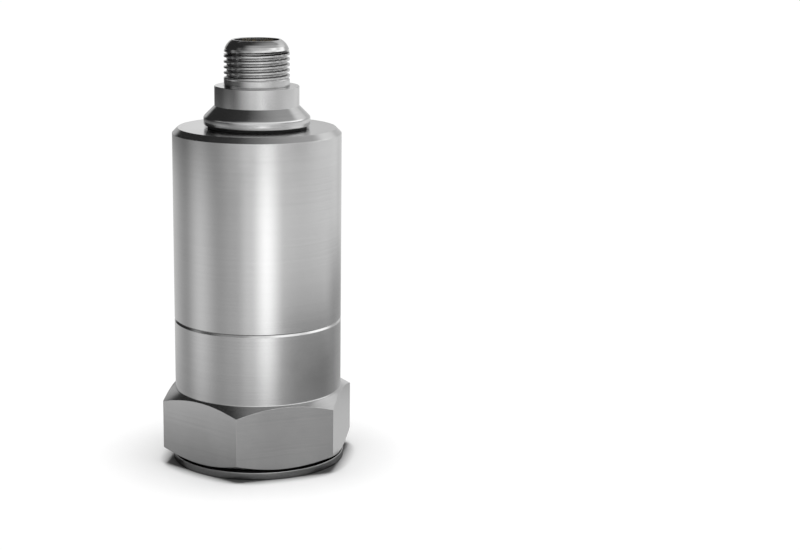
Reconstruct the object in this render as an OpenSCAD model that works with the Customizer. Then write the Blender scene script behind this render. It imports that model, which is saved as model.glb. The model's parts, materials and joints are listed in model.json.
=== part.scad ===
// Vibration sensor: a shear-mode accelerometer in a turned steel case with a hex base and an M12 connector.
// The origin is the centre of the mounting face, and +Z runs along the axis to the connector.

/* [Mounting base] */
// Diameter of the turned mounting pad
pad_d = 32; // [29:0.1:34]
// Height of the mounting pad
pad_h = 1.35; // [0.8:0.05:2.5]
// Bevel on both edges of the mounting pad
pad_bevel = 0.05; // [0.05:0.05:0.35]
// Diameter of the groove between pad and hex
groove_d = 29; // [28.5:0.1:31]
// Height of the groove between pad and hex
groove_h = 0.35; // [0.1:0.05:1]
// Size of the hex across flats
hex_af = 32; // [32:0.5:36]
// Height of the hex
hex_h = 11.95; // [10:0.05:15]
// Rounding between the lower body and the hex chamfer
hex_fillet = 0.2; // [0.1:0.05:0.45]
// Angle of the turned chamfers of the hex
hex_chamfer_angle = 29; // [15:1:40]
// Height of the round lower body above the hex
lower_body_h = 13.25; // [11.5:0.05:20]

/* [Mounting hole] */
// Bore diameter of the blind mounting hole, tapped 1/4-28
hole_d = 5.5; // [3.3:0.1:8]
// Depth of the full bore
hole_depth = 8; // [6:0.5:9]
// Bevel at the mouth of the hole
hole_bevel = 0.5; // [0.1:0.1:1]
// Point angle of the drill
drill_angle = 118; // [100:1:140]
// Metal between the drill point and the pocket floor
floor_t = 1.8; // [1.2:0.1:3]

/* [Housing] */
// Diameter of the round body
body_d = 31; // [29.5:0.1:31.2]
// Wall of the housing
wall = 1.8; // [1.2:0.1:2.4]
// Height of the housing above the joint
housing_h = 35.6; // [32.5:0.05:50]
// Thickness of the housing's top
top_wall = 4; // [3:0.1:5]
// Bevel on the housing's rim
rim_bevel = 1; // [0.3:0.1:2]
// Bevel of the housing's edge at the joint
seam_bevel = 0.2; // [0.1:0.02:0.7]
// Height of the sloping lip of the lower body, which forms the joint's V-groove with that bevel
seam_lip_h = 0.4; // [0.1:0.05:0.8]

/* [Joint] */
// Height of the spigot that enters the housing
spigot_h = 3.5; // [2.6:0.1:4.5]
// Wall of the spigot
spigot_wall = 1.95; // [1.6:0.05:2.4]
// Cord diameter of the joint's O-ring
joint_seal_d = 1; // [0.7:0.05:1.2]
// Clearance of a sliding fit, on the radius
fit = 0.05; // [0.02:0.01:0.1]

/* [Connector] */
// Thickness of the seal under the flange
flange_seal_t = 0.4; // [0.2:0.05:1]
// Width of the seal's ring, from the shank outwards
flange_seal_w = 1.5; // [0.8:0.05:1.7]
// Diameter of the flange
flange_d = 19.5; // [19:0.1:22]
// Height of the flange's wall
flange_h = 1.35; // [0.7:0.05:2]
// Rounding between the flange's wall and its cone
flange_round = 0.6; // [0.2:0.1:1]
// Rounding of the flange's lower edge
flange_foot_round = 0.4; // [0.1:0.05:0.5]
// Diameter of the collar
collar_d = 15.5; // [13.5:0.1:16.5]
// Height of the collar
collar_h = 3.6; // [2:0.05:6]
// Bevel on the collar's upper edge
collar_bevel = 0.1; // [0.05:0.05:0.8]
// Outer diameter of the connector thread
thread_d = 12; // [11:0.05:13.5]
// Height from the collar to the connector's tip
thread_h = 8.35; // [6.5:0.05:11]
// Radius of the rounded lead-in at the tip
tip_round = 3; // [2:0.1:4]
// Width of the flat rim at the tip, between the rounded lead-in and the socket's bevel
tip_rim_w = 0.25; // [0.1:0.05:0.6]
// Diameter of the socket
socket_d = 8.3; // [8:0.1:9]
// Depth of the socket
socket_depth = 8; // [6:0.1:9]
// Bevel at the mouth of the socket
socket_bevel = 0.1; // [0.1:0.05:0.4]
// Diameter of the shank in the housing's top
shank_d = 15; // [14:0.1:16]
// Height of the shank that stands out under the housing's top
shank_proud = 1.15; // [0.5:0.05:2]

/* [Contacts] */
// Diameter of a contact pin
pin_d = 1; // [0.6:0.05:1]
// Diameter of the circle on which the pins stand
pin_circle_d = 5.5; // [5.2:0.1:5.8]
// Depth of the pin tips below the connector's tip
pin_recess = 1.5; // [0.8:0.1:3]
// Length of the tapered pin tip
pin_point = 0.5; // [0.2:0.1:0.8]
// Diameter of the insert's rear flange
insert_flange_d = 11.1; // [10:0.1:12]
// Thickness of the insert's rear flange
insert_flange_t = 2.8; // [1.5:0.1:4]
// Width of the coding key
key_w = 1; // [0.6:0.1:1.4]
// Depth of the coding key from the socket's wall
key_depth = 0.7; // [0.4:0.05:0.75]
// Height of the coding key above the insert
key_h = 5.5; // [3:0.1:6.5]

/* [Sensing element] */
// Diameter of the insulating disc
disc_d = 14; // [12.4:0.1:17]
// Thickness of the insulating disc
disc_t = 0.8; // [0.4:0.1:1.5]
// Diameter of the post's foot
foot_d = 12.4; // [10:0.1:14]
// Thickness of the post's foot
foot_t = 1.5; // [0.8:0.1:2]
// Distance from the axis to a face of the column
column_apothem = 2.2; // [1.8:0.1:2.5]
// Diameter to which the column's corners are turned
column_d = 7.2; // [6.6:0.1:8]
// Thickness of a piezo plate
plate_t = 0.6; // [0.3:0.05:0.8]
// Width of a piezo plate
plate_w = 4.6; // [3:0.1:5]
// Height of a piezo plate
plate_h = 6; // [4:0.1:7]
// Outer diameter of the seismic masses
mass_d = 11.2; // [10:0.1:13]
// Width of a seismic mass
mass_w = 7.6; // [5:0.1:8.5]
// Height of a seismic mass
mass_h = 6.6; // [5.5:0.1:8]
// Clearance of the masses from the foot and from the column's top
mass_clearance = 0.45; // [0.2:0.05:1]
// Wall of the preload ring
ring_t = 0.5; // [0.3:0.05:0.8]
// Height of the preload ring
ring_h = 3.6; // [2:0.1:5]
// Clearance around the sensing element in the shield cup
shield_clearance = 0.6; // [0.3:0.1:1]
// Wall of the shield cup
shield_t = 0.4; // [0.2:0.05:0.8]
// Room between the column and the shield cup's top
shield_room = 0.9; // [0.4:0.1:2]
// Diameter of the lead from the sensing element
lead_d = 0.6; // [0.3:0.05:1]
// Diameter of the shield's hole for that lead
lead_hole_d = 1.8; // [1.4:0.1:3]

/* [Electronics] */
// Thickness of the circuit boards
board_t = 1.2; // [0.8:0.1:1.6]
// Width of the ledge that carries the amplifier board
ledge_w = 1; // [0.5:0.1:1.5]
// Room between the shield cup and the amplifier board
board_room = 1.6; // [0.5:0.1:2]
// Length of the socket under the main board
board_socket_l = 14; // [10:0.5:16]
// Length of the socket above the main board
connector_socket_l = 9; // [6:0.5:10]
// Width of both sockets
socket_w = 3.6; // [2.6:0.1:5]
// Height of both sockets
socket_h = 4; // [3:0.1:5]
// Depth of the slot in both sockets
socket_slot = 1.5; // [0.5:0.1:2]
// Wall at the ends of the lower socket's slot
socket_end = 1; // [0.5:0.1:2]
// Thickness of the connector board
connector_board_t = 1; // [0.6:0.1:1.6]
// Wall of the insulating sleeve
sleeve_t = 1.2; // [0.8:0.1:1.6]
// Depth of the sleeve's grooves for the main board
sleeve_groove = 0.5; // [0.2:0.1:0.6]
// Play between the sleeve and the housing's top
sleeve_play = 0.25; // [0.1:0.05:0.6]
// Spacing between parts on the boards
part_gap = 1; // [0.5:0.1:2]
// Amplifier chip along X, Y and Z
amplifier_chip_size = [5, 4, 1.5]; // [1:0.1:7]
// Charge capacitor along X, Y and Z
charge_capacitor_size = [6, 3, 2.5]; // [1:0.1:7]
// Converter chip along X, Y and Z
converter_chip_size = [7, 1.4, 6]; // [1:0.1:8]
// Interface chip along X, Y and Z
interface_chip_size = [8, 1.4, 7]; // [1:0.1:9]
// Voltage regulator along X, Y and Z
regulator_size = [6.5, 1.6, 3.5]; // [1:0.1:8]
// Crystal can along X, Y and Z
crystal_size = [11, 3.4, 4.6]; // [1:0.1:12]
// Diameter of a filter capacitor
capacitor_d = 5; // [3:0.1:6]
// Height of a filter capacitor
capacitor_h = 5.4; // [3:0.1:7]
// Width of a chip's leads
chip_lead_w = 0.4; // [0.2:0.05:0.6]
// Spacing of a chip's leads
chip_lead_pitch = 1.27; // [0.8:0.01:1.6]
// Length of a chip's leads beyond its body
chip_lead_l = 0.6; // [0.3:0.1:0.7]

/* [Hidden] */
pin_count = 4;
face_count = 3;
capacitor_count = 2;
turned_fn = 96;
small_fn = 32;
arc_steps = 6;
cut = 1;

body_r = body_d/2;
hex_corner_r = hex_af/2/cos(30);
hex_face_r = body_r + hex_fillet;
hex_bottom_z = pad_h + groove_h;
hex_top_z = hex_bottom_z + hex_h;
hex_chamfer_h = (hex_corner_r - hex_face_r)*tan(hex_chamfer_angle);
seam_z = hex_top_z + lower_body_h;
spigot_top_z = seam_z + spigot_h;

bore_r = body_r - wall;
spigot_r = bore_r - fit;
counterbore_r = spigot_r - spigot_wall;
pocket_r = counterbore_r - ledge_w;
drill_tip_h = hole_d/2/tan(drill_angle/2);
pocket_z = hole_depth + drill_tip_h + floor_t;
joint_seal_r = bore_r - fit - joint_seal_d/2;
joint_groove_h = joint_seal_d + 2*fit;
joint_seal_z = seam_z + spigot_h/2;

column_z = pocket_z + disc_t + foot_t;
column_h = mass_h + 2*mass_clearance;
column_top_z = column_z + column_h;
element_mid_z = column_z + column_h/2;
plate_top_r = column_apothem + plate_t;
mass_r = mass_d/2;
ring_inner_r = mass_r + fit;
ring_outer_r = ring_inner_r + ring_t;
shield_inner_r = max(disc_d/2, foot_d/2, ring_outer_r) + shield_clearance;
shield_top_z = column_top_z + shield_room + shield_t;
amplifier_board_z = shield_top_z + board_room;
amplifier_board_top_z = amplifier_board_z + board_t;
amplifier_board_r = counterbore_r - fit;

housing_top_z = seam_z + housing_h;
ceiling_z = housing_top_z - top_wall;
flange_z = housing_top_z + flange_seal_t;
flange_top_z = flange_z + flange_h;
collar_r = collar_d/2;
cone_start_r = flange_d/2 - flange_round*(1 - cos(45));
cone_start_z = flange_top_z + flange_round*sin(45);
cone_top_z = cone_start_z + cone_start_r - collar_r;
collar_top_z = cone_top_z + collar_h;
tip_z = collar_top_z + thread_h;
shank_bottom_z = ceiling_z - shank_proud;
insert_z = shank_bottom_z + connector_board_t;
shoulder_z = insert_z + insert_flange_t;
insert_face_z = tip_z - socket_depth;
insert_r = socket_d/2 - fit;
rear_bore_r = insert_flange_d/2 + fit;

sleeve_r = bore_r - fit;
sleeve_inner_r = sleeve_r - sleeve_t;
sleeve_top_z = ceiling_z - sleeve_play;
board_half_w = sleeve_inner_r + sleeve_groove - fit;
tab_w = board_socket_l - 2*socket_end - 2*fit;
tab_z = amplifier_board_top_z + socket_h - socket_slot;
main_board_z = max(spigot_top_z, amplifier_board_top_z + socket_h) + fit;
main_board_top_z = shank_bottom_z - socket_h + socket_slot;
parts_z = main_board_z + part_gap;

function names(stem, count) = [for (i = [1:count]) str(stem, "_", i)];

// Points of an arc about a centre, from one angle to another
function arc(centre, radius, from, to) = [
    for (i = [0:arc_steps])
        let (angle = from + (to - from)*i/arc_steps)
        centre + radius*[cos(angle), sin(angle)]
];

// A solid turned about the axis from its half section in radius and height
module turned(section, fn = turned_fn) {
    rotate_extrude($fn = fn) polygon(section);
}

// A round tube that stands at a height
module tube(inner_r, outer_r, z, h, fn = turned_fn) {
    turned([[inner_r, z], [outer_r, z], [outer_r, z + h], [inner_r, z + h]], fn);
}

// A box that is centred on X and Y and stands at a height
module standing_box(size, z) {
    translate([-size.x/2, -size.y/2, z]) cube(size);
}

// One row of square leads along X, at the foot of a chip that lies in the XY plane
module lead_row(row_l) {
    count = floor((row_l - chip_lead_w)/chip_lead_pitch) + 1;
    for (i = [0:count - 1])
        translate([(i - (count - 1)/2)*chip_lead_pitch, 0, 0])
            standing_box([chip_lead_w, 2*chip_lead_l, chip_lead_w], 0);
}

// A chip with leads along both long sides, lying in the XY plane
module chip(size) {
    standing_box(size, 0);
    for (side = [-1, 1])
        translate([0, side*size.y/2, 0]) lead_row(size.x);
}

// The front face of the main board looks along -Y, and this lays a part on it with its length along X
module on_board_front(z) {
    translate([0, -board_t/2, z]) rotate([90, 0, 0]) children();
}

// The same for the back face of the main board
module on_board_back(z) {
    translate([0, board_t/2, z]) rotate([-90, 0, 0]) children();
}

// The hex prism between its two turned chamfers
module hex_section() {
    intersection() {
        translate([0, 0, hex_bottom_z]) cylinder(r = hex_corner_r, h = hex_h, $fn = 6);
        turned([
            [0, hex_bottom_z],
            [hex_face_r, hex_bottom_z],
            [hex_corner_r, hex_bottom_z + hex_chamfer_h],
            [hex_corner_r, hex_top_z - hex_chamfer_h],
            [hex_face_r, hex_top_z],
            [0, hex_top_z]
        ]);
    }
}

// The turned stem of the base, from the pad to the spigot
module base_stem() {
    pad_r = pad_d/2;
    groove_r = groove_d/2;
    turned(concat(
        [
            [0, 0],
            [pad_r - pad_bevel, 0],
            [pad_r, pad_bevel],
            [pad_r, pad_h - pad_bevel],
            [pad_r - pad_bevel, pad_h],
            [groove_r, pad_h],
            [groove_r, hex_bottom_z + hex_h/2],
            [hex_face_r, hex_bottom_z + hex_h/2]
        ],
        arc([hex_face_r, hex_top_z + hex_fillet], hex_fillet, -90, -180),
        [
            [body_r, seam_z - seam_lip_h],
            [body_r - seam_bevel, seam_z],
            [spigot_r, seam_z],
            [spigot_r, spigot_top_z],
            [0, spigot_top_z]
        ]
    ));
}

// The blind hole for the mounting stud, with its mouth bevel and drill point
module mounting_hole() {
    hole_r = hole_d/2;
    turned([
        [0, -cut],
        [hole_r + hole_bevel + cut, -cut],
        [hole_r, hole_bevel],
        [hole_r, hole_depth],
        [0, hole_depth + drill_tip_h]
    ], small_fn);
}

// The room for the sensing element, with the ledge that carries the amplifier board
module element_pocket() {
    turned([
        [0, pocket_z],
        [pocket_r, pocket_z],
        [pocket_r, amplifier_board_z],
        [counterbore_r, amplifier_board_z],
        [counterbore_r, spigot_top_z + cut],
        [0, spigot_top_z + cut]
    ]);
}

module mounting_base() {
    groove_bottom_r = joint_seal_r - joint_seal_d/2 - fit;
    color("silver")
    difference() {
        union() {
            base_stem();
            hex_section();
        }
        mounting_hole();
        element_pocket();
        tube(groove_bottom_r, spigot_r + cut, joint_seal_z - joint_groove_h/2, joint_groove_h);
    }
}

module upper_housing() {
    hole_r = shank_d/2 + fit;
    color("silver")
    turned([
        [bore_r, seam_z],
        [body_r - seam_bevel, seam_z],
        [body_r, seam_z + seam_bevel],
        [body_r, housing_top_z - rim_bevel],
        [body_r - rim_bevel, housing_top_z],
        [hole_r, housing_top_z],
        [hole_r, ceiling_z],
        [bore_r, ceiling_z]
    ]);
}

module joint_seal() {
    color("dimgray")
    translate([0, 0, joint_seal_z])
        rotate_extrude($fn = turned_fn)
            translate([joint_seal_r, 0]) circle(d = joint_seal_d, $fn = small_fn);
}

module connector_shell() {
    flange_r = flange_d/2;
    shank_r = shank_d/2;
    thread_r = thread_d/2;
    socket_r = socket_d/2;
    tip_r = socket_r + socket_bevel + tip_rim_w;
    lead_in_angle = acos(1 - (thread_r - tip_r)/tip_round);
    lead_in_z = tip_z - tip_round*sin(lead_in_angle);
    color("gainsboro")
    turned(concat(
        [
            [rear_bore_r, shank_bottom_z],
            [shank_r, shank_bottom_z],
            [shank_r, flange_z]
        ],
        arc([flange_r - flange_foot_round, flange_z + flange_foot_round], flange_foot_round, -90, 0),
        arc([flange_r - flange_round, flange_top_z], flange_round, 0, 45),
        [
            [collar_r, cone_top_z],
            [collar_r, collar_top_z - collar_bevel],
            [collar_r - collar_bevel, collar_top_z],
            [thread_r, collar_top_z]
        ],
        arc([thread_r - tip_round, lead_in_z], tip_round, 0, lead_in_angle),
        [
            [socket_r + socket_bevel, tip_z],
            [socket_r, tip_z - socket_bevel],
            [socket_r, shoulder_z],
            [rear_bore_r, shoulder_z]
        ]
    ));
}

module flange_seal() {
    seal_inner_r = shank_d/2 + fit;
    color("dimgray")
    tube(seal_inner_r, seal_inner_r + flange_seal_w, housing_top_z, flange_seal_t);
}

// The places of the contact pins, one on each half axis
module at_pin(i) {
    rotate([0, 0, 360*(i - 1)/pin_count]) translate([pin_circle_d/2, 0, 0]) children();
}

module connector_insert() {
    key_angle = 180/pin_count;
    color("dimgray")
    difference() {
        union() {
            turned([
                [0, insert_z],
                [insert_flange_d/2, insert_z],
                [insert_flange_d/2, shoulder_z],
                [insert_r, shoulder_z],
                [insert_r, insert_face_z],
                [0, insert_face_z]
            ]);
            intersection() {
                tube(insert_r - key_depth, insert_r, insert_face_z - cut, key_h + cut);
                rotate([0, 0, key_angle]) translate([0, -key_w/2, insert_face_z - cut])
                    cube([insert_r + cut, key_w, key_h + cut]);
            }
        }
        for (i = [1:pin_count])
            at_pin(i) translate([0, 0, insert_z - cut])
                cylinder(r = pin_d/2 + fit, h = insert_face_z - insert_z + 2*cut, $fn = small_fn);
    }
}

module contact_pin(i) {
    pin_r = pin_d/2;
    pin_top_z = tip_z - pin_recess;
    color("gold")
    at_pin(i) turned([
        [0, shank_bottom_z],
        [pin_r, shank_bottom_z],
        [pin_r, pin_top_z - pin_point],
        [pin_r/2, pin_top_z],
        [0, pin_top_z]
    ], small_fn);
}

module isolation_disc() {
    color("ivory")
    translate([0, 0, pocket_z]) cylinder(d = disc_d, h = disc_t, $fn = turned_fn);
}

// Turns to the side of the column that carries plate and mass number i
module at_face(i) {
    rotate([0, 0, 360*(i - 0.5)/face_count]) children();
}

module sensor_post() {
    foot_z = pocket_z + disc_t;
    color("lightslategray")
    union() {
        translate([0, 0, foot_z]) cylinder(d = foot_d, h = foot_t, $fn = turned_fn);
        intersection() {
            translate([0, 0, foot_z])
                cylinder(r = column_apothem/cos(180/face_count), h = foot_t + column_h, $fn = face_count);
            translate([0, 0, foot_z]) cylinder(d = column_d, h = foot_t + column_h, $fn = turned_fn);
        }
    }
}

module piezo_plate(i) {
    color("wheat")
    at_face(i) translate([column_apothem, -plate_w/2, element_mid_z - plate_h/2])
        cube([plate_t, plate_w, plate_h]);
}

module seismic_mass(i) {
    color("slategray")
    at_face(i) translate([0, 0, element_mid_z - mass_h/2])
        intersection() {
            cylinder(r = mass_r, h = mass_h, $fn = turned_fn);
            translate([plate_top_r, -mass_w/2, 0]) cube([mass_r, mass_w, mass_h]);
        }
}

module preload_ring() {
    color("lightsteelblue")
    tube(ring_inner_r, ring_outer_r, element_mid_z - ring_h/2, ring_h);
}

module element_shield() {
    shield_r = shield_inner_r + shield_t;
    hole_r = lead_hole_d/2;
    color("khaki")
    turned([
        [shield_inner_r, pocket_z],
        [shield_r, pocket_z],
        [shield_r, shield_top_z],
        [hole_r, shield_top_z],
        [hole_r, shield_top_z - shield_t],
        [shield_inner_r, shield_top_z - shield_t]
    ]);
}

module element_lead() {
    color("peru")
    translate([0, 0, column_top_z])
        cylinder(d = lead_d, h = amplifier_board_top_z - column_top_z, $fn = small_fn);
}

module amplifier_board() {
    color("darkgreen")
    tube(lead_d/2 + fit, amplifier_board_r, amplifier_board_z, board_t);
}

module amplifier_chip() {
    chip_y = socket_w/2 + part_gap + chip_lead_l + amplifier_chip_size.y/2;
    color("darkslategray")
    translate([0, chip_y, amplifier_board_top_z]) chip(amplifier_chip_size);
}

module charge_capacitor() {
    capacitor_y = socket_w/2 + part_gap + charge_capacitor_size.y/2;
    color("goldenrod")
    translate([0, -capacitor_y, 0]) standing_box(charge_capacitor_size, amplifier_board_top_z);
}

module board_socket() {
    color("black")
    difference() {
        standing_box([board_socket_l, socket_w, socket_h], amplifier_board_top_z);
        standing_box([tab_w + 2*fit, board_t + 2*fit, socket_slot + cut], tab_z);
    }
}

module main_board() {
    color("darkgreen")
    rotate([90, 0, 0])
        linear_extrude(board_t, center = true)
            polygon([
                [-tab_w/2, tab_z],
                [tab_w/2, tab_z],
                [tab_w/2, main_board_z],
                [board_half_w, main_board_z],
                [board_half_w, main_board_top_z],
                [-board_half_w, main_board_top_z],
                [-board_half_w, main_board_z],
                [-tab_w/2, main_board_z]
            ]);
}

module converter_chip() {
    size = converter_chip_size;
    color("darkslategray")
    on_board_front(parts_z + chip_lead_l + size.z/2) chip([size.x, size.z, size.y]);
}

module interface_chip() {
    size = interface_chip_size;
    lower_edge_z = parts_z + 2*chip_lead_l + converter_chip_size.z + part_gap;
    color("darkslategray")
    on_board_front(lower_edge_z + chip_lead_l + size.z/2) chip([size.x, size.z, size.y]);
}

module voltage_regulator() {
    size = regulator_size;
    color("darkslategray")
    on_board_back(parts_z + chip_lead_l + size.z/2) chip([size.x, size.z, size.y]);
}

// Height at which the parts above the voltage regulator start
function crystal_z() = parts_z + 2*chip_lead_l + regulator_size.z + part_gap;

module crystal() {
    size = crystal_size;
    end_r = size.z/2;
    color("lightgray")
    on_board_back(crystal_z() + end_r)
        linear_extrude(size.y) {
            square([size.x - size.z, size.z], center = true);
            for (side = [-1, 1])
                translate([side*(size.x/2 - end_r), 0]) circle(r = end_r, $fn = small_fn);
        }
}

module filter_capacitor(i) {
    column = i - (capacitor_count + 1)/2;
    capacitor_z = crystal_z() + crystal_size.z + part_gap + capacitor_d/2;
    color("gray")
    on_board_back(capacitor_z)
        translate([column*(capacitor_d + part_gap), 0, 0])
            cylinder(d = capacitor_d, h = capacitor_h, $fn = small_fn);
}

module board_sleeve() {
    groove_l = 2*(sleeve_inner_r + sleeve_groove);
    color("whitesmoke")
    difference() {
        tube(sleeve_inner_r, sleeve_r, spigot_top_z, sleeve_top_z - spigot_top_z);
        standing_box([groove_l, board_t + 2*fit, sleeve_top_z - spigot_top_z + 2*cut], spigot_top_z - cut);
    }
}

module connector_socket() {
    socket_z = shank_bottom_z - socket_h;
    color("black")
    difference() {
        standing_box([connector_socket_l, socket_w, socket_h], socket_z);
        standing_box([connector_socket_l + 2*cut, board_t + 2*fit, socket_slot + cut], socket_z - cut);
    }
}

module connector_board() {
    board_r = rear_bore_r - fit;
    color("darkgreen")
    difference() {
        translate([0, 0, shank_bottom_z]) cylinder(r = board_r, h = connector_board_t, $fn = turned_fn);
        for (i = [1:pin_count])
            at_pin(i) translate([0, 0, shank_bottom_z - cut])
                cylinder(r = pin_d/2 + fit, h = connector_board_t + 2*cut, $fn = small_fn);
    }
}

mounting_base();
upper_housing();
joint_seal();
connector_shell();
flange_seal();
connector_insert();
for (i = [1:pin_count])
    contact_pin(i);
isolation_disc();
sensor_post();
for (i = [1:face_count])
    piezo_plate(i);
for (i = [1:face_count])
    seismic_mass(i);
preload_ring();
element_shield();
element_lead();
amplifier_board();
amplifier_chip();
charge_capacitor();
board_socket();
main_board();
converter_chip();
interface_chip();
voltage_regulator();
crystal();
for (i = [1:capacitor_count])
    filter_capacitor(i);
board_sleeve();
connector_socket();
connector_board();
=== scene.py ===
"""Looks of the vibration sensor: camera, studio, materials and the turns of the connector's thread."""

import json
import math

import bmesh
import bpy
from mathutils import Matrix, Vector


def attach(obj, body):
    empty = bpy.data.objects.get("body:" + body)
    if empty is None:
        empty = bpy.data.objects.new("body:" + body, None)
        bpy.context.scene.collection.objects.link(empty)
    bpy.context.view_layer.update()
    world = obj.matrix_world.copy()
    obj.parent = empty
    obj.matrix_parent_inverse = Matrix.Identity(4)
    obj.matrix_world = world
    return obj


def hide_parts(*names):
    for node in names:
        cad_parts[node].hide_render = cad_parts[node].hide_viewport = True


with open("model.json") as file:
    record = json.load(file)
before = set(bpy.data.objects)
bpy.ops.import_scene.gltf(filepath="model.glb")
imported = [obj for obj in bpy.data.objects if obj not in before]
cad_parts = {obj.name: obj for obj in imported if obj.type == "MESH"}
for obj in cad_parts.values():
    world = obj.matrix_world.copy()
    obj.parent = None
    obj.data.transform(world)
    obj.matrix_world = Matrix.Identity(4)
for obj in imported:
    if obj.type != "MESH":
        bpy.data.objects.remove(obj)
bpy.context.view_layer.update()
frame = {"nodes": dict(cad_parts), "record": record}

MM = 0.001

# Floor: a pale paper disc just under the mounting face
FLOOR_RADIUS = 12
FLOOR_DROP = 0.02 * MM
DISC_SEGMENTS = 96
PAPER_CLOUD_SCALE = 6.0
PAPER_CLOUD_DETAIL = 2.0
PAPER_LEVELS = (0.955, 0.965)
# Deepening of the shadow where the floor meets the sensor: its reach, and its shade by openness
CONTACT_REACH = 3 * MM
CONTACT_STOPS = [(0.45, 0.35), (0.97, 1.0)]
CONTACT_SAMPLES = 16

# Dark card under the pad, a painted shadow that the pad's reflections show in place of the shaded floor: its
# radius, and its shift to the right and away from the camera
CONTACT_RADIUS = 18.6 * MM
CONTACT_SHIFT = (-1.0 * MM, -2.0 * MM)
SHADOW_CARD_SCALE = 900.0
SHADOW_CARD_DETAIL = 3.0
SHADOW_CARD_LEVELS = (0.13, 0.16)

# Light from above, and the surround's level for matte surfaces
TOP_LIGHT_LEVEL = 0.98
TOP_LIGHT_ANGLE = math.radians(32)
TOP_LIGHT_HEIGHT = 1
FILL_LEVEL = 0.08

# Camera, found from the edges in the photograph
IMAGE_WIDTH = 800
FOCAL_PIXELS = 1800
SENSOR_WIDTH = 36
CAMERA_TURN = math.radians(-17.51)
CAMERA_DISTANCE = 328.75 * MM
CAMERA_HEIGHT = 107.12 * MM
CAMERA_PITCH = math.radians(12.405)
CAMERA_YAW = math.radians(4.624)
CAMERA_ROLL = math.radians(0.711)
CLIP_START = 10 * MM
CLIP_END = 4 * FLOOR_RADIUS

# Light tent: a ball round the sensor. Heights in it are shares of its radius from its centre
TENT_RADIUS = 0.35
TENT_CENTRE_Z = 0.04
TENT_STRENGTH = 1.75
TENT_SUBDIVISIONS = 5
# Turn that takes the tent's +X to the camera's side
TENT_FACING = math.radians(-90)
# Wall of the tent round the body: degrees to the right of the camera, brightness
TENT_WALL = [
    (-170, 0.40),
    (-146, 0.37),
    (-113, 0.27),
    (-83, 0.53),
    (-52, 0.30),
    (-30, 0.37),
    (-10, 0.60),
    (12, 1.16),
    (37, 0.57),
    (65, 0.54),
    (125, 0.55),
    (148, 0.44),
]
# Brightness of the shaded ground near the sensor by height, the heights between which the wall goes over into
# it, how far their beginning rises to the right, the heights between which the wall comes back further down,
# and what stays of the ground there
GROUND_STOPS = [(-0.47, 0.10), (-0.43, 0.10), (-0.39, 0.168), (-0.33, 0.245)]
GROUND_BEGIN = -0.26
GROUND_FULL = -0.385
GROUND_SKEW = 0.05
GROUND_END = (-0.46, -0.57)
GROUND_REST = 0.35
# Brightness of the dark roof from left, -1, to right, 1, how far that moves to the left towards the camera,
# and the heights between which the wall goes over into the roof
ROOF_STOPS = [(-0.8, 0.02), (-0.16, 0.03), (0.1, 0.12), (0.5, 0.32), (1.0, 0.45)]
ROOF_SKEW = 0.5
ROOF_BLEND = (0.66, 0.74)
# Lighter front and back of the roof: brightness, and the places towards the camera between which it begins
HOODS = [(0.36, 0.18, 0.45), (0.45, -0.40, -0.52)]
# Cards and flags in the tent: middle, half width and soft edge in degrees to the right of the camera, then
# lower end, upper end and soft edge as heights, and brightness. A later one covers an earlier one
TENT_CARDS = [
    (20, 120, 60, -0.05, 0.64, 0.08, 0.62),  # plain wall at the connector's height
    (12, 60, 50, -0.09, -0.055, 0.02, 0.14),  # flag over the key light, for the connector's flange
    (-112, 70, 60, -0.08, 0.80, 0.12, 0.02),  # flag for the connector's left
    (-68, 30, 24, 0.16, 0.36, 0.08, 0.38),  # card for the left of the connector's tip
    (-45, 32, 24, 0.48, 0.64, 0.04, 0.20),  # flag for the left of the joint
    (85, 40, 30, 0.00, 0.14, 0.05, 0.15),  # flag for the right of the thread
    (4, 50, 40, 0.04, 0.16, 0.06, 0.62),  # softbox above the camera
    (52, 32, 20, 0.50, 0.68, 0.06, 1.00),  # card for the front right of the joint
    (100, 24, 16, 0.22, 0.54, 0.06, 1.00),  # card for the right end of the joint
    (140, 26, 30, -0.36, -0.20, 0.08, 0.25),  # flag for the right edge of the lower body
    (76, 44, 50, -0.345, -0.26, 0.06, 0.07),  # flag for the right of the lower body
    (150, 32, 20, 0.02, 0.40, 0.08, 0.38),  # card for the right of the housing's top
    (-164, 14, 14, 0.00, 0.34, 0.10, 0.30),  # card for the left edge of the housing's top
    (-178, 5, 6, 0.05, 0.36, 0.06, 0.50),  # card straight behind, for the left of the housing's top
    (156, 13, 9, -0.50, -0.345, 0.02, 0.36),  # card for the right flat of the hex
    (35, 16, 20, -0.45, -0.37, 0.04, 0.21),  # card for the front flat of the hex
    (-92, 34, 30, -0.402, -0.37, 0.03, 0.135),  # flag for the left flat of the hex
]

# Range in which most values of a noise lie, and its roughness
NOISE_LOW = 0.3
NOISE_HIGH = 0.7
NOISE_ROUGHNESS = 0.55

# Edges of steel, lighter from wear and as a painted highlight: the cosines of the angle to the rounded normal
# at which this begins and is full
EDGE_BEGIN = 0.995
EDGE_FULL = 0.85
EDGE_SAMPLES = 6
EDGE_WEAR_AND_HIGHLIGHT_COLOUR = (0.68, 0.68, 0.67, 1)
# Painted shade in narrow grooves: how far a surface must be open to stay unshaded, and its shade by openness
GROOVE_SHADE_REACH = 0.7 * MM
GROOVE_SHADE_STOPS = [(0.25, 0.05), (0.5, 0.45), (0.75, 1.0)]
GROOVE_SHADE_SAMPLES = 8
# Lines from turning: a surface whose normal has more than this upright share is a face, the rest are walls
FACE_LIMIT = 0.5
TURNING_SCALE = 30.0
TURNING_DETAIL = 2.0
TURNING_SHADES = (0.95, 1.0)
TURNING_BUMP = 0.25
TURNING_HEIGHT = 0.004 * MM
TURNING_ANISOTROPY = 0.4
TURNING_ANISOTROPY_TURN = 0.25
# Stains on steel: shares of its tone and of its roughness
STAIN_SCALE = 90.0
STAIN_DETAIL = 4.0
STAIN_SHADES = (0.95, 1.03)
STAIN_ROUGHNESS = (0.9, 1.1)

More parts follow.
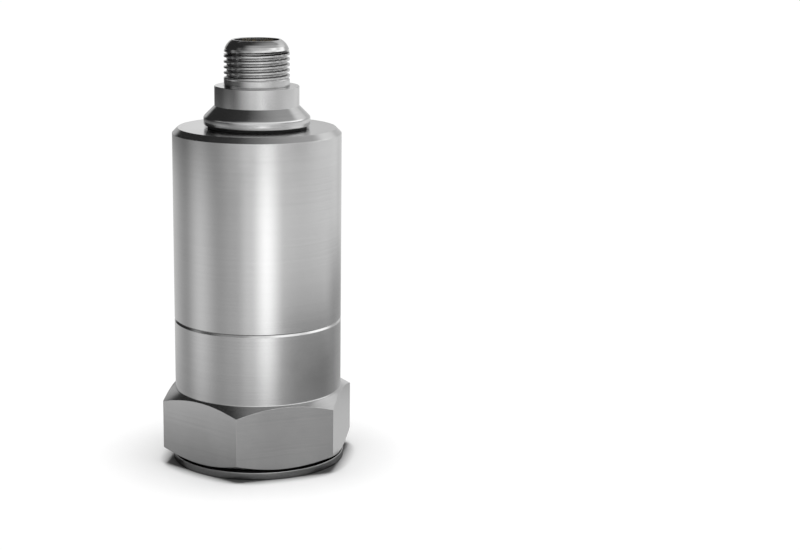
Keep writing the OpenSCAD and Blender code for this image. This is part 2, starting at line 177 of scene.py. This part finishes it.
# Grain of the other materials, with wider clouds in its colour
GRAIN_DETAIL = 4.0
GRAIN_BUMP = 0.4
GRAIN_ROUGHNESS = (0.85, 1.15)
CLOUD_SHARE = 0.1
CLOUD_DETAIL = 2.0

# Thread of the connector, M12 x 1. The crest's and the flank's widths are shares of the pitch
THREAD_PITCH = 1 * MM
THREAD_DEPTH = 0.52 * MM
THREAD_CREST = 0.28
THREAD_FLANK = 0.22
# Height of the plain neck below the grooves, and height over which they reach their depth
THREAD_START = 1.15 * MM
THREAD_RUNOUT = 0.7 * MM
# Height of the plain lead-in at the tip, and height over which the grooves end below it
LEAD_IN = 1.5 * MM
LEAD_IN_RUNOUT = 0.3 * MM
# Mesh of the threaded shell
THREAD_STEP = 0.04 * MM
TURNED_SEGMENTS = 192
SHARP_ANGLE = math.radians(25)
# Reading the CAD section: a point's distance from its plane, and the decimals of its place in metres
PLANE_TOLERANCE = 1e-7
PLACE_DECIMALS = 7
# The socket's wall ends closer to the tip than this, and lies within this share of the thread's radius
SOCKET_MARGIN = 1 * MM
SOCKET_SHARE = 0.75


def grey(level):
    return (level, level, level)


def opaque(colour):
    return (*colour, 1)


def camera_turn():
    """Turn about Z that takes the -Y side to the camera's side"""
    return Matrix.Rotation(CAMERA_TURN, 4, "Z")


def add_to_scene(thing):
    bpy.context.scene.collection.objects.link(thing)


def make_camera():
    forward = Vector((
        math.sin(CAMERA_YAW) * math.cos(CAMERA_PITCH),
        math.cos(CAMERA_YAW) * math.cos(CAMERA_PITCH),
        -math.sin(CAMERA_PITCH),
    ))
    level_right = forward.cross(Vector((0, 0, 1))).normalized()
    level_up = level_right.cross(forward)
    right = level_right * math.cos(CAMERA_ROLL) + level_up * math.sin(CAMERA_ROLL)
    up = right.cross(forward)
    rotation = Matrix((right, up, -forward)).transposed().to_4x4()
    place = Matrix.Translation(Vector((0, -CAMERA_DISTANCE, CAMERA_HEIGHT)))
    data = bpy.data.cameras.new("photo_camera")
    data.sensor_fit = "HORIZONTAL"
    data.sensor_width = SENSOR_WIDTH
    data.lens = FOCAL_PIXELS * SENSOR_WIDTH / IMAGE_WIDTH
    data.clip_start = CLIP_START
    data.clip_end = CLIP_END
    camera = bpy.data.objects.new("photo_camera", data)
    add_to_scene(camera)
    camera.matrix_world = camera_turn() @ place @ rotation
    bpy.context.scene.camera = camera


def feed(tree, socket, value):
    """Set a socket to a value, or link it to another node's output"""
    if isinstance(value, bpy.types.NodeSocket):
        tree.links.new(value, socket)
    else:
        socket.default_value = value


def add_node(tree, kind, inputs=None, **settings):
    """A shader node with its settings, and its inputs by name as values or as other nodes' outputs"""
    node = tree.nodes.new(kind)
    for name, value in settings.items():
        setattr(node, name, value)
    for name, value in (inputs or {}).items():
        feed(tree, node.inputs[name], value)
    return node


def add_ramp(tree, factor, stops, interpolation="LINEAR"):
    """A colour ramp's output, from stops of place and grey level or colour"""
    ramp = add_node(tree, "ShaderNodeValToRGB", {"Fac": factor})
    ramp.color_ramp.interpolation = interpolation
    elements = ramp.color_ramp.elements
    while len(elements) < len(stops):
        elements.new(1)
    for element, (place, level) in zip(elements, sorted(stops)):
        element.position = place
        element.color = opaque(level if isinstance(level, tuple) else grey(level))
    return ramp.outputs["Color"]


def add_math(tree, operation, first, second=0.0):
    node = add_node(tree, "ShaderNodeMath", operation=operation)
    for socket, value in zip(node.inputs, (first, second)):
        feed(tree, socket, value)
    return node.outputs["Value"]


def add_vector_math(tree, operation, *vectors):
    node = add_node(tree, "ShaderNodeVectorMath", operation=operation)
    for socket, vector in zip(node.inputs, vectors):
        feed(tree, socket, vector)
    return node.outputs["Value"]


def map_range(tree, value, low, high, to_low, to_high, interpolation="LINEAR"):
    node = add_node(
        tree,
        "ShaderNodeMapRange",
        {"Value": value, "From Min": low, "From Max": high, "To Min": to_low, "To Max": to_high},
        interpolation_type=interpolation,
    )
    return node.outputs["Result"]


def mix_colours(tree, factor, first, second, blend_type="MIX"):
    node = add_node(tree, "ShaderNodeMix", data_type="RGBA", blend_type=blend_type)
    for name, value in (("Factor", factor), ("A", first), ("B", second)):
        socket = next(s for s in node.inputs if s.name == name and s.enabled)
        feed(tree, socket, value)
    return next(s for s in node.outputs if s.enabled)


def multiply_colours(tree, first, second):
    return mix_colours(tree, 1.0, first, second, "MULTIPLY")


def split_vector(tree, vector):
    return add_node(tree, "ShaderNodeSeparateXYZ", {"Vector": vector}).outputs


def object_coordinates(tree):
    return add_node(tree, "ShaderNodeTexCoord").outputs["Object"]


def add_noise(tree, vector, scale, detail):
    node = add_node(
        tree,
        "ShaderNodeTexNoise",
        {"Vector": vector, "Scale": scale, "Detail": detail, "Roughness": NOISE_ROUGHNESS},
    )
    return node.outputs["Fac"]


def noise_ramp(tree, noise, levels):
    """Grey level or colour that follows a noise from the first level to the second"""
    return add_ramp(tree, noise, list(zip((NOISE_LOW, NOISE_HIGH), levels)))


def noise_range(tree, noise, middle, shares):
    """Value that follows a noise between two shares of its middle"""
    low, high = shares
    return map_range(tree, noise, NOISE_LOW, NOISE_HIGH, low * middle, high * middle)


def openness(tree, reach, samples, stops):
    """Shade of a surface by how open the space before it is"""
    node = add_node(tree, "ShaderNodeAmbientOcclusion", {"Distance": reach}, samples=samples)
    return add_ramp(tree, node.outputs["AO"], stops)


def new_material(name):
    """An empty node material with its tree and output node"""
    material = bpy.data.materials.new(name)
    material.use_nodes = True
    tree = material.node_tree
    tree.nodes.clear()
    output = tree.nodes.new("ShaderNodeOutputMaterial")
    return material, tree, output


def edge_mask(tree, radius):
    """1 along edges and 0 elsewhere, with the rounded normal that shows it"""
    rounded = add_node(tree, "ShaderNodeBevel", {"Radius": radius}, samples=EDGE_SAMPLES).outputs["Normal"]
    plain = add_node(tree, "ShaderNodeNewGeometry").outputs["Normal"]
    cosine = add_vector_math(tree, "DOT_PRODUCT", rounded, plain)
    return map_range(tree, cosine, EDGE_BEGIN, EDGE_FULL, 0.0, 1.0), rounded


def turning_lines(tree, place, line_scale):
    """Noise drawn out round the axis, which changes by height on walls and by radius on faces"""
    split = split_vector(tree, place)
    flat = add_node(tree, "ShaderNodeCombineXYZ", {"X": split["X"], "Y": split["Y"]}).outputs["Vector"]
    radius = add_vector_math(tree, "LENGTH", flat)
    true_normal = add_node(tree, "ShaderNodeNewGeometry").outputs["True Normal"]
    upright = add_math(tree, "ABSOLUTE", split_vector(tree, true_normal)["Z"])
    is_face = add_math(tree, "GREATER_THAN", upright, FACE_LIMIT)
    from_wall = add_math(tree, "SUBTRACT", radius, split["Z"])
    across = add_math(tree, "ADD", split["Z"], add_math(tree, "MULTIPLY", is_face, from_wall))
    across = add_math(tree, "MULTIPLY", across, line_scale)
    lines = add_node(tree, "ShaderNodeCombineXYZ", {"X": split["X"], "Y": split["Y"], "Z": across})
    return add_noise(tree, lines.outputs["Vector"], TURNING_SCALE, TURNING_DETAIL)


def turned_steel(name, tone, roughness, line_scale, edge_radius):
    """Steel with fine lines round the axis, stains, edges lighter from wear and as a painted highlight, and
    painted shade in its grooves
    """
    material, tree, output = new_material(name)
    place = object_coordinates(tree)
    turning = turning_lines(tree, place, line_scale)
    stains = add_noise(tree, place, STAIN_SCALE, STAIN_DETAIL)
    mask, rounded = edge_mask(tree, edge_radius)

    stained = noise_ramp(tree, stains, [share * tone for share in STAIN_SHADES])
    lined = multiply_colours(tree, stained, noise_ramp(tree, turning, TURNING_SHADES))
    # Lighter edges: worn metal and a painted highlight
    worn_and_highlit = mix_colours(tree, mask, lined, EDGE_WEAR_AND_HIGHLIGHT_COLOUR)
    # Painted shade: the colour darkens where a groove is narrow
    painted_groove_shade = openness(tree, GROOVE_SHADE_REACH, GROOVE_SHADE_SAMPLES, GROOVE_SHADE_STOPS)

    bump = add_node(
        tree,
        "ShaderNodeBump",
        {"Strength": TURNING_BUMP, "Distance": TURNING_HEIGHT, "Height": turning, "Normal": rounded},
    )
    tangent = add_node(tree, "ShaderNodeTangent", direction_type="RADIAL", axis="Z")
    bsdf = add_node(
        tree,
        "ShaderNodeBsdfPrincipled",
        {
            "Base Color": multiply_colours(tree, worn_and_highlit, painted_groove_shade),
            "Metallic": 1.0,
            "Roughness": noise_range(tree, stains, roughness, STAIN_ROUGHNESS),
            "Anisotropic": TURNING_ANISOTROPY,
            "Anisotropic Rotation": TURNING_ANISOTROPY_TURN,
            "Normal": bump.outputs["Normal"],
            "Tangent": tangent.outputs["Tangent"],
        },
    )
    tree.links.new(bsdf.outputs["BSDF"], output.inputs["Surface"])
    return material


def grained(name, dark, light, roughness, metallic, grain_scale, bump_height):
    """A moulded, ground or drawn surface with grain in its gloss and height, and clouds in its colour"""
    material, tree, output = new_material(name)
    place = object_coordinates(tree)
    grain = add_noise(tree, place, grain_scale, GRAIN_DETAIL)
    clouds = add_noise(tree, place, CLOUD_SHARE * grain_scale, CLOUD_DETAIL)
    bump = add_node(
        tree, "ShaderNodeBump", {"Strength": GRAIN_BUMP, "Distance": bump_height, "Height": grain}
    )
    bsdf = add_node(
        tree,
        "ShaderNodeBsdfPrincipled",
        {
            "Base Color": noise_ramp(tree, clouds, (dark, light)),
            "Metallic": metallic,
            "Roughness": noise_range(tree, grain, roughness, GRAIN_ROUGHNESS),
            "Normal": bump.outputs["Normal"],
        },
    )
    tree.links.new(bsdf.outputs["BSDF"], output.inputs["Surface"])
    return material


def make_materials():
    """A material for each material slot of the record"""
    return {
        "case_steel": turned_steel(
            "case_steel_turned", tone=0.58, roughness=0.18, line_scale=250.0, edge_radius=0.08 * MM
        ),
        "connector_steel": turned_steel(
            "connector_steel_turned", tone=0.56, roughness=0.15, line_scale=300.0, edge_radius=0.03 * MM
        ),
        "element_steel": turned_steel(
            "element_steel_ground", tone=0.5, roughness=0.35, line_scale=300.0, edge_radius=0.08 * MM
        ),
        "seal_rubber": grained(
            "seal_rubber_matte", dark=grey(0.012), light=grey(0.025),
            roughness=0.7, metallic=0.0, grain_scale=6000.0, bump_height=0.01 * MM,
        ),
        "insert_plastic": grained(
            "insert_plastic_moulded", dark=grey(0.015), light=grey(0.03),
            roughness=0.5, metallic=0.0, grain_scale=5000.0, bump_height=0.01 * MM,
        ),
        "contact_gold": grained(
            "contact_gold_plated", dark=(0.78, 0.56, 0.22), light=(0.86, 0.66, 0.3),
            roughness=0.22, metallic=1.0, grain_scale=3000.0, bump_height=0.003 * MM,
        ),
        "insulator_ceramic": grained(
            "insulator_ceramic_ground", dark=(0.82, 0.8, 0.74), light=(0.9, 0.88, 0.84),
            roughness=0.45, metallic=0.0, grain_scale=4000.0, bump_height=0.004 * MM,
        ),
        "piezo_ceramic": grained(
            "piezo_ceramic_lapped", dark=(0.66, 0.6, 0.46), light=(0.76, 0.7, 0.56),
            roughness=0.5, metallic=0.0, grain_scale=5000.0, bump_height=0.004 * MM,
        ),
        "shield_brass": grained(
            "shield_brass_drawn", dark=(0.7, 0.54, 0.28), light=(0.78, 0.63, 0.36),
            roughness=0.3, metallic=1.0, grain_scale=2500.0, bump_height=0.004 * MM,
        ),
        "board_laminate": grained(
            "board_laminate_mask", dark=(0.02, 0.13, 0.05), light=(0.04, 0.19, 0.09),
            roughness=0.35, metallic=0.0, grain_scale=3000.0, bump_height=0.01 * MM,
        ),
        "chip_plastic": grained(
            "chip_plastic_moulded", dark=grey(0.03), light=grey(0.05),
            roughness=0.55, metallic=0.0, grain_scale=7000.0, bump_height=0.006 * MM,
        ),
        "capacitor_film": grained(
            "capacitor_film_dipped", dark=(0.48, 0.27, 0.06), light=(0.6, 0.37, 0.1),
            roughness=0.4, metallic=0.0, grain_scale=2500.0, bump_height=0.02 * MM,
        ),
        "can_aluminium": grained(
            "can_aluminium_drawn", dark=grey(0.66), light=grey(0.76),
            roughness=0.32, metallic=1.0, grain_scale=3000.0, bump_height=0.004 * MM,
        ),
        "sleeve_plastic": grained(
            "sleeve_plastic_moulded", dark=(0.7, 0.69, 0.65), light=(0.79, 0.78, 0.74),
            roughness=0.5, metallic=0.0, grain_scale=4000.0, bump_height=0.008 * MM,
        ),
    }


def half_section(node):
    """The closed loop of radius and height in which a turned CAD node meets the half plane through +X"""
    mesh = node.data
    neighbours = {}
    for edge in mesh.edges:
        ends = [mesh.vertices[index].co for index in edge.vertices]
        if all(abs(end.y) < PLANE_TOLERANCE and end.x > 0 for end in ends):
            first, second = [(round(end.x, PLACE_DECIMALS), round(end.z, PLACE_DECIMALS)) for end in ends]
            neighbours.setdefault(first, set()).add(second)
            neighbours.setdefault(second, set()).add(first)
    start = min(neighbours)
    loop = [start]
    previous, here = None, start
    while True:
        ways = [point for point in neighbours[here] if point != previous]
        previous, here = here, ways[0]
        if here == start:
            return loop
        loop.append(here)


def closed_pairs(loop):
    """Each member of a closed loop with the next one"""
    return zip(loop, loop[1:] + loop[:1])


def section_thread_radius(section):
    """Radius of the highest upright line of the connector's section, apart from the socket's wall"""
    tip = max(height for _, height in section)
    upright = [
        (max(first[1], second[1]), first[0])
        for first, second in closed_pairs(section)
        if first[0] == second[0]
    ]
    outside = [(top, radius) for top, radius in upright if top < tip - SOCKET_MARGIN]
    return max(outside)[1]


def thread_rows(section, thread_radius, bottom):
    """The section's points with close rows where the thread is cut, each with whether it is such a row"""
    rows = []
    for first, second in closed_pairs(section):
        rows.append((first, False))
        radii, heights = zip(first, second)
        is_outside = min(radii) > SOCKET_SHARE * thread_radius and max(radii) <= thread_radius
        if is_outside and min(heights) >= bottom and first[1] != second[1]:
            steps = max(1, round(abs(second[1] - first[1]) / THREAD_STEP))
            for step in range(1, steps):
                share = step / steps
                rows.append((tuple(a + (b - a) * share for a, b in zip(first, second)), True))
    return rows


def limited(share):
    return min(1, max(0, share))


def groove_depth(phase):
    """Share of the thread's depth at a place between the middle of one crest, 0, and of the next, 1"""
    from_crest = abs(phase - round(phase))
    down = limited((from_crest - THREAD_CREST / 2) / THREAD_FLANK)
    return 0.5 - 0.5 * math.cos(math.pi * down)


def thread_cut(height, angle, bottom, tip):
    """How deep the thread is cut at a height and an angle, less where it begins and ends"""
    run_in = limited((height - bottom - THREAD_START) / THREAD_RUNOUT)
    run_out = limited((tip - height - LEAD_IN) / LEAD_IN_RUNOUT)
    phase = height / THREAD_PITCH - angle / (2 * math.pi)
    return THREAD_DEPTH * run_in * run_out * groove_depth(phase)


def finished_mesh(mesh_edit, name):
    """A new mesh from an edited one, which is freed"""
    mesh = bpy.data.meshes.new(name)
    mesh_edit.to_mesh(mesh)
    mesh_edit.free()
    return mesh


def shade_smooth(mesh):
    for polygon in mesh.polygons:
        polygon.use_smooth = True


def make_threaded_shell(node, material):
    """The connector shell as the CAD has it, with the turns of its thread cut in"""
    section = half_section(node)
    thread_radius = section_thread_radius(section)
    bottom = min(height for radius, height in section if radius == thread_radius)
    tip = max(height for _, height in section)
    mesh_edit = bmesh.new()
    rings = []
    for (radius, height), is_cut in thread_rows(section, thread_radius, bottom):
        ring = []
        for index in range(TURNED_SEGMENTS):
            angle = 2 * math.pi * index / TURNED_SEGMENTS
            reach = radius
            if is_cut:
                reach = min(radius, thread_radius - thread_cut(height, angle, bottom, tip))
            ring.append(mesh_edit.verts.new((reach * math.cos(angle), reach * math.sin(angle), height)))
        rings.append(ring)
    for ring, next_ring in closed_pairs(rings):
        for (first, second), (next_first, next_second) in zip(closed_pairs(ring), closed_pairs(next_ring)):
            mesh_edit.faces.new((first, second, next_second, next_first))
    bmesh.ops.recalc_face_normals(mesh_edit, faces=mesh_edit.faces)
    mesh = finished_mesh(mesh_edit, "threaded_shell")
    shade_smooth(mesh)
    mesh.set_sharp_from_angle(angle=SHARP_ANGLE)
    mesh.materials.append(material)
    shell = bpy.data.objects.new("threaded_shell", mesh)
    add_to_scene(shell)
    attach(shell, "root")
    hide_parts("connector_shell")


def make_disc(name, radius, material):
    """A flat round object of the studio"""
    mesh_edit = bmesh.new()
    bmesh.ops.create_circle(mesh_edit, cap_ends=True, segments=DISC_SEGMENTS, radius=radius)
    mesh = finished_mesh(mesh_edit, name)
    mesh.materials.append(material)
    disc = bpy.data.objects.new(name, mesh)
    add_to_scene(disc)
    return disc


def show_in_reflections_only(thing):
    thing.visible_camera = False
    thing.visible_diffuse = False
    thing.visible_shadow = False
    thing.visible_transmission = False


def make_floor():
    material, tree, output = new_material("floor_paper")
    clouds = add_noise(tree, object_coordinates(tree), PAPER_CLOUD_SCALE, PAPER_CLOUD_DETAIL)
    paper = noise_ramp(tree, clouds, PAPER_LEVELS)
    contact = openness(tree, CONTACT_REACH, CONTACT_SAMPLES, CONTACT_STOPS)
    surface = add_node(tree, "ShaderNodeBsdfDiffuse", {"Color": multiply_colours(tree, paper, contact)})
    tree.links.new(surface.outputs["BSDF"], output.inputs["Surface"])
    floor = make_disc("floor", FLOOR_RADIUS, material)
    floor.location.z = -FLOOR_DROP
    floor.visible_glossy = False


def make_contact_card():
    """A dark card under the sensor, a painted shadow which only reflections in the pad show"""
    material, tree, output = new_material("contact_card_painted_shadow")
    # Painted shadow: the card's dark grey stands in for the shaded floor near the pad
    card_shade = noise_ramp(tree, add_noise(tree, object_coordinates(tree), SHADOW_CARD_SCALE, SHADOW_CARD_DETAIL), SHADOW_CARD_LEVELS)
    surface = add_node(tree, "ShaderNodeBsdfDiffuse", {"Color": card_shade})
    tree.links.new(surface.outputs["BSDF"], output.inputs["Surface"])
    card = make_disc("contact_card", CONTACT_RADIUS, material)
    card.location = camera_turn() @ Vector((*CONTACT_SHIFT, -FLOOR_DROP / 2))
    show_in_reflections_only(card)


def wall_ramp(tree, turn, panels):
    """Brightness round the tent from panels at angles to the camera, closed behind the sensor"""
    stops = [(0.5 + degrees / 360, level) for degrees, level in panels]
    (first_place, first), (last_place, last) = stops[0], stops[-1]
    seam = first + (last - first) * first_place / (first_place + 1 - last_place)
    return add_ramp(tree, turn, [(0.0, seam), *stops, (1.0, seam)], "EASE")


def ball_ramp(tree, place, stops):
    """Brightness by a place that goes from -1 to 1 across the tent"""
    share = map_range(tree, place, -1.0, 1.0, 0.0, 1.0)
    return add_ramp(tree, share, [((stop + 1) / 2, level) for stop, level in stops])


def fade(tree, value, begin, end):
    """0 up to the beginning, and 1 from the end on"""
    return map_range(tree, value, begin, end, 0.0, 1.0)


def soft_window(tree, value, middle, half, soft):
    """1 within half a width of the middle, and 0 beyond a soft edge"""
    away = add_math(tree, "ABSOLUTE", add_math(tree, "SUBTRACT", value, middle))
    return map_range(tree, away, half - soft / 2, half + soft / 2, 1.0, 0.0, "SMOOTHSTEP")


def add_ground(tree, wall, side, height):
    """The wall's brightness with the shaded ground in it"""
    begin = add_math(tree, "ADD", add_math(tree, "MULTIPLY", side, GROUND_SKEW), GROUND_BEGIN)
    below_wall = fade(tree, height, begin, GROUND_FULL)
    kept = map_range(tree, height, *GROUND_END, 1.0, GROUND_REST)
    shaded = add_math(tree, "MULTIPLY", below_wall, kept)
    return mix_colours(tree, shaded, wall, ball_ramp(tree, height, GROUND_STOPS))


def add_roof(tree, wall, front, side, height):
    """The wall's brightness with the dark roof and its lighter front and back over it"""
    skewed = add_math(tree, "ADD", side, add_math(tree, "MULTIPLY", front, ROOF_SKEW))
    roof = ball_ramp(tree, skewed, ROOF_STOPS)
    for level, begin, end in HOODS:
        roof = mix_colours(tree, fade(tree, front, begin, end), roof, opaque(grey(level)))
    return mix_colours(tree, fade(tree, height, *ROOF_BLEND), wall, roof)


def add_cards(tree, wall, degrees, height):
    """The wall's brightness with the cards and flags before it"""
    for middle, half, soft, low, high, height_soft, level in TENT_CARDS:
        across = soft_window(tree, degrees, middle, half, soft)
        upright = soft_window(tree, height, (low + high) / 2, (high - low) / 2, height_soft)
        card = add_math(tree, "MULTIPLY", across, upright)
        wall = mix_colours(tree, card, wall, opaque(grey(level)))
    return wall


def make_tent():
    """A round light tent with bright cards and dark flags, which only the metal's reflections show"""
    material, tree, output = new_material("light_tent_cards")
    place = object_coordinates(tree)
    turn = add_node(tree, "ShaderNodeTexGradient", {"Vector": place}, gradient_type="RADIAL").outputs["Fac"]
    degrees = map_range(tree, turn, 0.0, 1.0, -180.0, 180.0)
    split = split_vector(tree, place)
    front, side, height = split["X"], split["Y"], split["Z"]
    glow = wall_ramp(tree, turn, TENT_WALL)
    glow = add_ground(tree, glow, side, height)
    glow = add_roof(tree, glow, front, side, height)
    glow = add_cards(tree, glow, degrees, height)
    light = add_node(tree, "ShaderNodeEmission", {"Color": glow, "Strength": TENT_STRENGTH})
    tree.links.new(light.outputs["Emission"], output.inputs["Surface"])
    material.cycles.emission_sampling = "NONE"

    mesh_edit = bmesh.new()
    bmesh.ops.create_icosphere(mesh_edit, subdivisions=TENT_SUBDIVISIONS, radius=1)
    mesh = finished_mesh(mesh_edit, "light_tent")
    shade_smooth(mesh)
    mesh.materials.append(material)
    tent = bpy.data.objects.new("light_tent", mesh)
    middle = Matrix.Translation(Vector((0, 0, TENT_CENTRE_Z)))
    facing = camera_turn() @ Matrix.Rotation(TENT_FACING, 4, "Z")
    tent.matrix_world = middle @ facing @ Matrix.Scale(TENT_RADIUS, 4)
    show_in_reflections_only(tent)
    add_to_scene(tent)


def make_world():
    """A white surround for what sees it, and a softer fill for matte surfaces"""
    world = bpy.data.worlds.new("white_studio")
    world.use_nodes = True
    tree = world.node_tree
    path = add_node(tree, "ShaderNodeLightPath").outputs
    seen = add_math(tree, "MAXIMUM", path["Is Camera Ray"], path["Is Glossy Ray"])
    seen = add_math(tree, "MAXIMUM", seen, path["Is Transmission Ray"])
    background = tree.nodes["Background"]
    background.inputs["Color"].default_value = opaque(grey(1))
    tree.links.new(map_range(tree, seen, 0.0, 1.0, FILL_LEVEL, 1.0), background.inputs["Strength"])
    bpy.context.scene.world = world


def make_top_light():
    """A wide soft light from straight above, hidden from reflections"""
    data = bpy.data.lights.new("top_light", "SUN")
    data.energy = math.pi * TOP_LIGHT_LEVEL
    data.angle = TOP_LIGHT_ANGLE
    light = bpy.data.objects.new("top_light", data)
    light.location.z = TOP_LIGHT_HEIGHT
    light.visible_glossy = False
    add_to_scene(light)


make_camera()
make_world()
make_floor()
make_tent()
make_contact_card()
make_top_light()
materials = make_materials()
for subpart in frame["record"]["subparts"]:
    node_mesh = frame["nodes"][subpart["node"]].data
    node_mesh.materials.clear()
    node_mesh.materials.append(materials[subpart["material_slot"]])
make_threaded_shell(frame["nodes"]["connector_shell"], materials["connector_steel"])
bpy.context.scene.view_settings.view_transform = "Standard"
